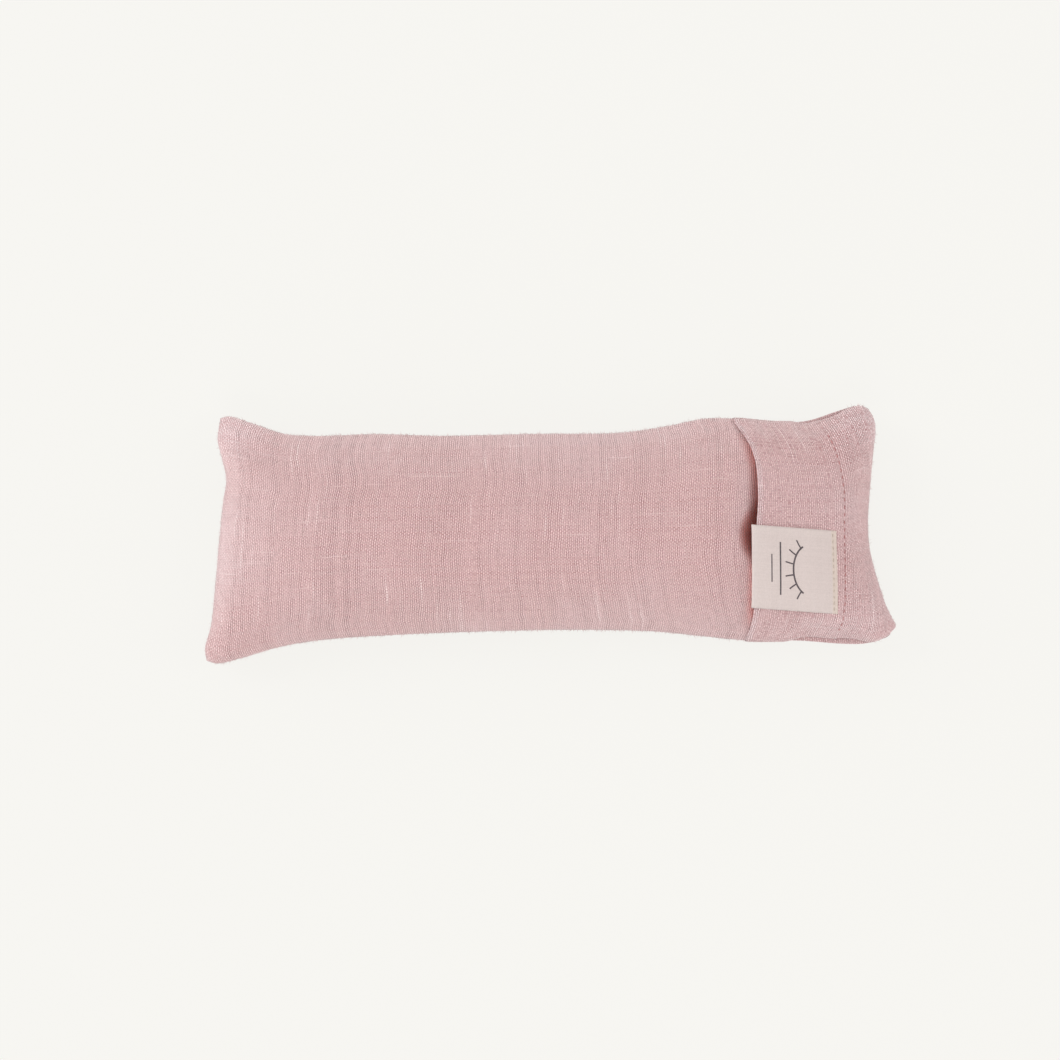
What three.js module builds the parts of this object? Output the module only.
// Eye pillow: a linen cover with an overlapped mouth, round a flaxseed pouch.
// Millimetres, +Z up, lying on z = 0. +X runs along the length, towards the mouth.
import * as THREE from 'three';

// ---- Driving dimensions ----
const HALF_LENGTH = 125; // middle to the tips of the two lower corners
const HALF_WIDTH = 46.5; // middle to the tips of the widest corners
const SEAM_HEIGHT = 12; // side seam above the table, halfway along
const END_DROP = 3; // how much lower the end folds lie
const CORNER_DROP = 3; // how much lower still the corners lie
const CROWN = 15; // rise of the filling above the seam
const BELLY = 19; // fall below the seam, before the table flattens it
const END_ROUNDING = { power: 3.2, fullness: 0.62 }; // how the filling fades towards the end folds
const SIDE_ROUNDING = { power: 2.4, fullness: 0.6 }; // and towards the side seams

const CLOTH = 0.9; // a linen layer
const HEM_CLOTH = 1.3; // the overlap: linen doubled by its deep hem
const COTTON = 0.7; // a pouch layer
const TAPE = 0.4; // label tape
const CLEARANCE = 0.3; // between layers that touch
const THREAD = 0.35; // height of a stitch above its cloth
const THREAD_WIDTH = 0.6;
const THREAD_BETWEEN = 0.4; // share of a thread's section that shows between two stitches
const STITCH_PITCH = 2.7;

const MOUTH_GAP = 1.7; // between front panel and overlap, away from the seams
const EDGE_LIFT = 2; // how far the free edge stands off by itself
const LIFT_CENTRE = 0.15; // across the width, where it stands off most
const LIFT_SPREAD = 0.3;

// Lines across the pillow, as a share of its half length: -1 left fold, 1 right fold.
const FREE_EDGE = 0.6546;
const FRONT_END = 0.885;
const HEM_LINE = 0.9275;
const FRONT_HEM_LINE = 0.84;
const EDGE_SWEEP = 0.085; // how far the free edge runs back at the side seams
const SWEEP_POWER = { upper: 6, lower: 2.5 }; // how late it starts to, going out from the middle
const SWEEP_START = -0.2;
const FALL_START = 0.905; // where the overlap starts to close down onto the end fold

const LABEL_OVERHANG = 1.5; // label fold past the free edge
const LABEL_END_X = 103.6; // its sewn end along the length
const LABEL_SIDES = [-0.72, 0.04]; // as shares of the half width
const LABEL_SEAM_INSET = 1.3;

// ---- Outline at the seam, left to right and lower to upper ----
const spline = (...points) => new THREE.SplineCurve(points.map(([x, y]) => new THREE.Vector2(x, y)));
const upperLeft = [-119.5, 42];
const upperRight = [116.5, HALF_WIDTH];
const lowerLeft = [-HALF_LENGTH, -HALF_WIDTH];
const lowerRight = [HALF_LENGTH, -34.5];
const upperEdge = spline(upperLeft, [-98, 37], [-60, 35.9], [0, 36.3], [35, 38.2], [64, 41.9], [90, 41.2],
  upperRight);
const lowerEdge = spline(lowerLeft, [-92, -39], [-40, -35.4], [10, -34.1], [45, -35.4], [72, -38.1],
  [105, -39], lowerRight);
const leftEnd = spline(lowerLeft, [-122, -28], [-120, -5], [-117.4, 20], upperLeft);
const rightEnd = spline(lowerRight, [118.6, -16], [115, 3], [116, 22], upperRight);

// ---- The grid of columns that all layers share, so that none can cut its neighbour ----
const LEFT_CELLS = 16;
const MOUTH_CELLS = 4;
const END_CELLS = 3;
const CROSS_CELLS = 14;
const CELLS = LEFT_CELLS + MOUTH_CELLS + 1 + END_CELLS;
const FREE_INDEX = LEFT_CELLS;
const FRONT_END_INDEX = LEFT_CELLS + MOUTH_CELLS;
const HEM_INDEX = FRONT_END_INDEX + 1;

const mix = THREE.MathUtils.lerp;

function lengthwiseLine(i) {
  if (i <= FREE_INDEX) return mix(-1, FREE_EDGE, (i / LEFT_CELLS) ** 1.5);
  if (i <= FRONT_END_INDEX) return mix(FREE_EDGE, FRONT_END, (i - FREE_INDEX) / MOUTH_CELLS);
  return mix(1, HEM_LINE, ((CELLS - i) / END_CELLS) ** 1.4);
}

const crossLine = (j) => Math.sin((Math.PI / 2) * ((2 * j) / CROSS_CELLS - 1));

// The free edge and the lines near it run back towards the side seams.
function swept(u, v) {
  const near = u < FREE_EDGE ? (u - SWEEP_START) / (FREE_EDGE - SWEEP_START) : (1 - u) / (1 - FREE_EDGE);
  const power = v > 0 ? SWEEP_POWER.upper : SWEEP_POWER.lower;
  return u - EDGE_SWEEP * Math.abs(v) ** power * Math.max(near, 0);
}

// A point of the outline's surface patch: its four edges, blended.
function column(line, v) {
  const u = swept(line, v);
  const s = (u + 1) / 2;
  const t = (v + 1) / 2;
  const [low, high] = [lowerEdge.getPointAt(s), upperEdge.getPointAt(s)];
  const [left, right] = [leftEnd.getPointAt(t), rightEnd.getPointAt(t)];
  const place = (axis, k) => {
    const corners = mix(mix(lowerLeft[k], lowerRight[k], s), mix(upperLeft[k], upperRight[k], s), t);
    return mix(low[axis], high[axis], t) + mix(left[axis], right[axis], s) - corners;
  };
  return { u, v, x: place('x', 0), y: place('y', 1) };
}

const grid = [];
for (let i = 0; i <= CELLS; i++) {
  grid.push([]);
  for (let j = 0; j <= CROSS_CELLS; j++) grid[i].push(column(lengthwiseLine(i), crossLine(j)));
}

// ---- Heights of the layers over a column ----
const fade = (share, { power, fullness }) => Math.max(1 - Math.abs(share) ** power, 0) ** fullness;
const plump = ({ u, v }) => fade(u, END_ROUNDING) * fade(v, SIDE_ROUNDING);
const seamHeight = ({ u, v }) => SEAM_HEIGHT - Math.abs(u) ** 6 * (END_DROP + CORNER_DROP * v ** 4);
const half = CLEARANCE / 2;

const backOuter = (c) => Math.max(seamHeight(c) - half - CLOTH - BELLY * plump(c), 0);
const backInner = (c) => backOuter(c) + CLOTH;
const frontInner = (c) => seamHeight(c) + half + CROWN * plump(c);
const frontOuter = (c) => frontInner(c) + CLOTH;

function mouthGap({ u, v }) {
  const fromEdge = Math.min(Math.max((u - FREE_EDGE) / (FRONT_END - FREE_EDGE), 0), 1);
  const lift = EDGE_LIFT * Math.exp(-(((v - LIFT_CENTRE) / LIFT_SPREAD) ** 2)) * (1 - fromEdge) ** 2;
  return mix(MOUTH_GAP, CLEARANCE, v ** 8) + lift;
}

function overlapInner(c) {
  const towardsFold = Math.min((1 - c.u) / (1 - FALL_START), 1);
  return frontInner(c) + (CLOTH + mouthGap(c)) * towardsFold;
}

const overlapOuter = (c) => overlapInner(c) + HEM_CLOTH;

// ---- Builders ----
// A closed body from a grid of point pairs: place(i, j, 0) on its lower skin, place(i, j, 1) on its upper.
function closedGrid(across, along, place) {
  const positions = [];
  const index = [];
  const at = (i, j, k) => (i * (along + 1) + j) * 2 + k;
  for (let i = 0; i <= across; i++) {
    for (let j = 0; j <= along; j++) positions.push(...place(i, j, 0), ...place(i, j, 1));
  }
  const quad = (a, b, c, d) => index.push(a, b, c, a, c, d);
  for (let i = 0; i < across; i++) {
    for (let j = 0; j < along; j++) {
      quad(at(i, j, 1), at(i + 1, j, 1), at(i + 1, j + 1, 1), at(i, j + 1, 1));
      index.push(at(i, j, 0), at(i + 1, j + 1, 0), at(i + 1, j, 0));
      index.push(at(i, j, 0), at(i, j + 1, 0), at(i + 1, j + 1, 0));
    }
    quad(at(i, 0, 0), at(i + 1, 0, 0), at(i + 1, 0, 1), at(i, 0, 1));
    quad(at(i + 1, along, 0), at(i, along, 0), at(i, along, 1), at(i + 1, along, 1));
  }
  for (let j = 0; j < along; j++) {
    quad(at(0, j + 1, 0), at(0, j, 0), at(0, j, 1), at(0, j + 1, 1));
    quad(at(across, j, 0), at(across, j + 1, 0), at(across, j + 1, 1), at(across, j, 1));
  }
  const geometry = new THREE.BufferGeometry();
  geometry.setAttribute('position', new THREE.Float32BufferAttribute(positions, 3));
  geometry.setIndex(index);
  return geometry;
}

// A layer between two heights, over the columns from first to last and inside the side lines.
function layer(first, last, side, lower, upper) {
  const heights = [lower, upper];
  return closedGrid(last - first, CROSS_CELLS - 2 * side, (i, j, k) => {
    const c = grid[first + i][side + j];
    const onRim = i === 0 || i === last - first || j === 0 || j === CROSS_CELLS - 2 * side;
    return [c.x, c.y, heights[k](c, onRim)];
  });
}

// A run of thread through points; proud(i) scales its section at each of them.
function threadRun(points, proud) {
  const last = points.length - 1;
  const up = new THREE.Vector3(0, 0, 1);
  return closedGrid(last, 1, (i, j, k) => {
    const [before, after] = [points[Math.max(i - 1, 0)], points[Math.min(i + 1, last)]];
    const beside = after.clone().sub(before).cross(up).normalize();
    const place = points[i].clone().addScaledVector(beside, (0.5 - j) * THREAD_WIDTH * proud(i));
    return [place.x, place.y, place.z + (k - 0.5) * THREAD * proud(i)];
  });
}

// A row of stitches in the open, proud at each stitch and low between two.
function stitchRow(curve) {
  const stations = 2 * Math.round(curve.getLength() / STITCH_PITCH);
  return threadRun(curve.getSpacedPoints(stations), (i) => (i % 2 ? 1 : THREAD_BETWEEN));
}

// A curve across the pillow on the lines that lineAt(v) gives, at a height over each column.
function curveOn(lineAt, from, to, height) {
  const points = [];
  for (let n = 0; n <= 24; n++) {
    const v = mix(from, to, n / 24);
    const c = column(lineAt(v), v);
    points.push(new THREE.Vector3(c.x, c.y, height(c)));
  }
  return new THREE.CatmullRomCurve3(points);
}

// The thread inside a seam, through the given columns at the seam's height.
const seamThread = (columns) =>
  threadRun(columns.map((c) => new THREE.Vector3(c.x, c.y, seamHeight(c))), () => 1);

const dyedLinen = new THREE.MeshStandardMaterial({ color: 0xd3b1b0, roughness: 0.9, metalness: 0 });
const dyedThread = new THREE.MeshStandardMaterial({ color: 0xc08f8c, roughness: 0.7, metalness: 0 });
const tapeCotton = new THREE.MeshStandardMaterial({ color: 0xe3d8d0, roughness: 0.85, metalness: 0 });
const ecruThread = new THREE.MeshStandardMaterial({ color: 0xd9ccb8, roughness: 0.7, metalness: 0 });
const pouchCotton = new THREE.MeshStandardMaterial({ color: 0xe9e0cf, roughness: 0.9, metalness: 0 });
const pouchThread = new THREE.MeshStandardMaterial({ color: 0xf1ebe0, roughness: 0.7, metalness: 0 });
const flaxseed = new THREE.MeshStandardMaterial({ color: 0x6f4526, roughness: 0.45, metalness: 0 });

const group = new THREE.Group();

function add(name, geometry, material) {
  const mesh = new THREE.Mesh(geometry, material);
  mesh.name = name;
  group.add(mesh);
}

// ---- Cover ----
add('cover_back_panel', layer(0, CELLS, 0, backOuter, backInner), dyedLinen);
add('cover_front_panel', layer(0, FRONT_END_INDEX, 0, frontInner, frontOuter), dyedLinen);
const onFront = (c) => frontOuter(c) + half + THREAD / 2;
add('front_hem_stitch', stitchRow(curveOn(() => FRONT_HEM_LINE, -0.85, 0.85, onFront)), dyedThread);

const SEAM_SIDE = 1; // a side seam's thread lies one column in from the edge
const seamColumns = (j) => grid.slice(2, CELLS - 1).map((row) => row[j]);
add('side_seam_stitch_upper', seamThread(seamColumns(CROSS_CELLS - SEAM_SIDE)), dyedThread);
add('side_seam_stitch_lower', seamThread(seamColumns(SEAM_SIDE)), dyedThread);

// ---- Overlap ----
add('cover_overlap_panel', layer(FREE_INDEX, CELLS, 0, overlapInner, overlapOuter), dyedLinen);
const onOverlap = (c) => overlapOuter(c) + CLEARANCE + THREAD / 2;
add('overlap_hem_stitch', stitchRow(curveOn(() => HEM_LINE, -0.92, 0.92, onOverlap)), dyedThread);

// The label's lower leaf runs from its sewn end to the fold, and its upper leaf back again.
const LEAF_CELLS = 6;
const LABEL_CROSS_CELLS = 8;

// The line that passes through a place along the length, found by halving.
function lineThrough(x, v) {
  let [low, high] = [0, 1];
  for (let n = 0; n < 30; n++) {
    const middle = (low + high) / 2;
    if (column(middle, v).x < x) low = middle;
    else high = middle;
  }
  return low;
}

const upperLeaf = (c) => overlapOuter(c) + CLEARANCE;
const lowerLeaf = (c) => frontOuter(c) + half + THREAD + half + TAPE;

function labelPoint(i, j, k) {
  const v = mix(...LABEL_SIDES, j / LABEL_CROSS_CELLS);
  const isUpper = i > LEAF_CELLS + 1;
  const fromEnd = isUpper ? 2 * LEAF_CELLS + 3 - i : i;
  const isFold = fromEnd > LEAF_CELLS;
  const c = column(mix(lineThrough(LABEL_END_X, v), FREE_EDGE, Math.min(fromEnd / LEAF_CELLS, 1)), v);
  const x = isFold ? c.x - LABEL_OVERHANG + TAPE * (1 - k) : c.x;
  return [x, c.y, isUpper ? upperLeaf(c) + TAPE * k : lowerLeaf(c) - TAPE * k];
}

add('label_tape', closedGrid(2 * LEAF_CELLS + 3, LABEL_CROSS_CELLS, labelPoint), tapeCotton);
const onLabel = (c) => upperLeaf(c) + TAPE + CLEARANCE + THREAD / 2;
const labelSeamAt = (v) => lineThrough(LABEL_END_X - LABEL_SEAM_INSET, v);
const [labelLow, labelHigh] = LABEL_SIDES;
const labelSeam = curveOn(labelSeamAt, labelLow + 0.03, labelHigh - 0.03, onLabel);
add('label_stitch', stitchRow(labelSeam), ecruThread);

// ---- Insert ----
const POUCH_FIRST = 1;
const POUCH_SIDE = 2;
const pouchTop = (c, onRim) => (onRim ? seamHeight(c) + half : frontInner(c) - CLEARANCE - COTTON);
const pouchBase = (c, onRim) => (onRim ? seamHeight(c) - half : backInner(c) + CLEARANCE + COTTON);
const overTop = (c, onRim) => pouchTop(c, onRim) + COTTON;
const underBase = (c, onRim) => pouchBase(c, onRim) - COTTON;
add('pouch_upper_panel', layer(POUCH_FIRST, HEM_INDEX, POUCH_SIDE, pouchTop, overTop), pouchCotton);
add('pouch_lower_panel', layer(POUCH_FIRST, HEM_INDEX, POUCH_SIDE, underBase, pouchBase), pouchCotton);

// The pouch's threads bind the outside of its rim: round three sides, and across its filling end.
const RIM_PAST_SIDE = 0.022;
const RIM_PAST_END = 0.01;
const RIM_CORNER = 0.96; // where a thread turns the corner, as a share of its distance from the middle
const rimSide = crossLine(CROSS_CELLS - POUCH_SIDE) + RIM_PAST_SIDE;
const rimEnds = [lengthwiseLine(POUCH_FIRST) - RIM_PAST_END, HEM_LINE + RIM_PAST_END];
const steps = (count) => [...Array(count + 1).keys()].map((n) => n / count);
const along = (v, [from, to]) => steps(24).map((t) => column(mix(from, to, t), v));
const across = (u, from, to) => steps(8).map((t) => column(u, mix(from, to, t)));
const threeSides = [
  ...along(-rimSide, [HEM_LINE, rimEnds[0] + RIM_PAST_END]),
  ...across(rimEnds[0], -RIM_CORNER * rimSide, RIM_CORNER * rimSide),
  ...along(rimSide, [rimEnds[0] + RIM_PAST_END, HEM_LINE]),
];
add('pouch_seam_stitch', seamThread(threeSides), pouchThread);
const fillingEnd = across(rimEnds[1], -RIM_CORNER * rimSide, RIM_CORNER * rimSide);
add('pouch_closing_stitch', seamThread(fillingEnd), pouchThread);

add('flaxseed_fill',
  layer(POUCH_FIRST + 1, FRONT_END_INDEX, POUCH_SIDE + 1,
    (c) => pouchBase(c, false) + CLEARANCE, (c) => pouchTop(c, false) - CLEARANCE), flaxseed);

export default group;
